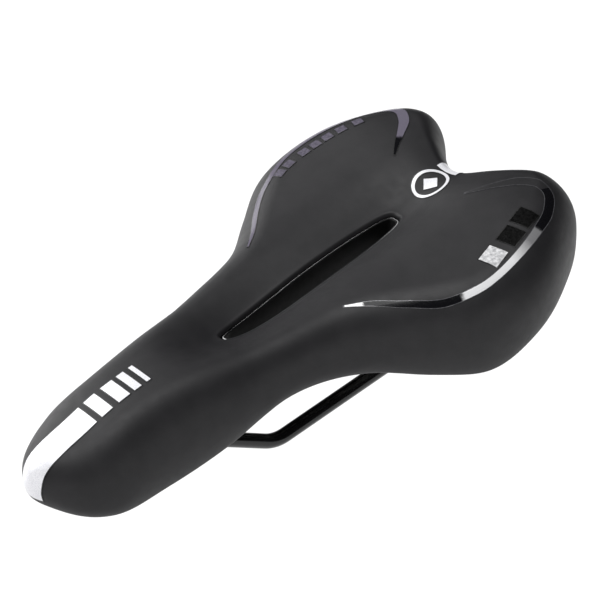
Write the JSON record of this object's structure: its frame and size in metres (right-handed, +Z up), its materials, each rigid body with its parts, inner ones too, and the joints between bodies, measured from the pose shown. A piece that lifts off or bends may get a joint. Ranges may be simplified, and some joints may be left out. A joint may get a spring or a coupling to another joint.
{
  "type": "bicycle saddle",
  "caption": "Padded sports saddle with a long nose, a central slot, a notched rear and a bent steel rail under a moulded base",
  "frame": {"origin": "midway between the two rails, on their centre lines, at the middle of the straight section that a seatpost clamps", "axes": "+X to the rider's left, -Y towards the nose, +Z up; millimetre drawing scaled to metres"},
  "size_m": [0.165, 0.284, 0.0748],
  "materials": {
    "cover_black": "soft matte polyurethane",
    "foam_grey": "open-cell moulded foam",
    "gel_blue": "soft gel",
    "base_plastic": "fine moulded texture",
    "trim_plastic": "polished edge",
    "rail_black": "gloss black coated steel",
    "zinc_steel": "zinc plated",
    "white_film": "silvery white printed film",
    "dark_film": "dark mirror-like laminated film"
  },
  "bodies": {
    "root": {"cover": "cover_black", "foam_pad": "foam_grey", "gel_insert_left": "gel_blue", "gel_insert_right": "gel_blue", "base_shell": "base_plastic", "nose_clamp_plate": "base_plastic", "slot_trim": "trim_plastic", "rail": "rail_black", "nose_screw_front": "zinc_steel", "nose_screw_rear": "zinc_steel", "nose_stripe": "white_film", "rear_strip": "white_film", "badge_ring": "white_film", "badge_centre": "white_film", "arc_left": "dark_film", "arc_right": "dark_film", "mark_block_1": "dark_film", "mark_block_2": "dark_film", "mark_block_3": "dark_film", "mark_dash_1": "dark_film", "mark_dash_2": "dark_film", "mark_dash_3": "dark_film", "mark_dash_4": "dark_film", "mark_dash_5": "dark_film", "mark_dash_6": "dark_film", "mark_dash_7": "dark_film", "nose_bar_1": "white_film", "nose_bar_2": "white_film", "nose_bar_3": "white_film", "nose_bar_4": "white_film", "staple_left_01": "zinc_steel", "staple_left_02": "zinc_steel", "staple_left_03": "zinc_steel", "staple_left_04": "zinc_steel", "staple_left_05": "zinc_steel", "staple_left_06": "zinc_steel", "staple_left_07": "zinc_steel", "staple_left_08": "zinc_steel", "staple_left_09": "zinc_steel", "staple_left_10": "zinc_steel", "staple_left_11": "zinc_steel", "staple_left_12": "zinc_steel", "staple_right_01": "zinc_steel", "staple_right_02": "zinc_steel", "staple_right_03": "zinc_steel", "staple_right_04": "zinc_steel", "staple_right_05": "zinc_steel", "staple_right_06": "zinc_steel", "staple_right_07": "zinc_steel", "staple_right_08": "zinc_steel", "staple_right_09": "zinc_steel", "staple_right_10": "zinc_steel", "staple_right_11": "zinc_steel", "staple_right_12": "zinc_steel"}
  },
  "joints": []
}
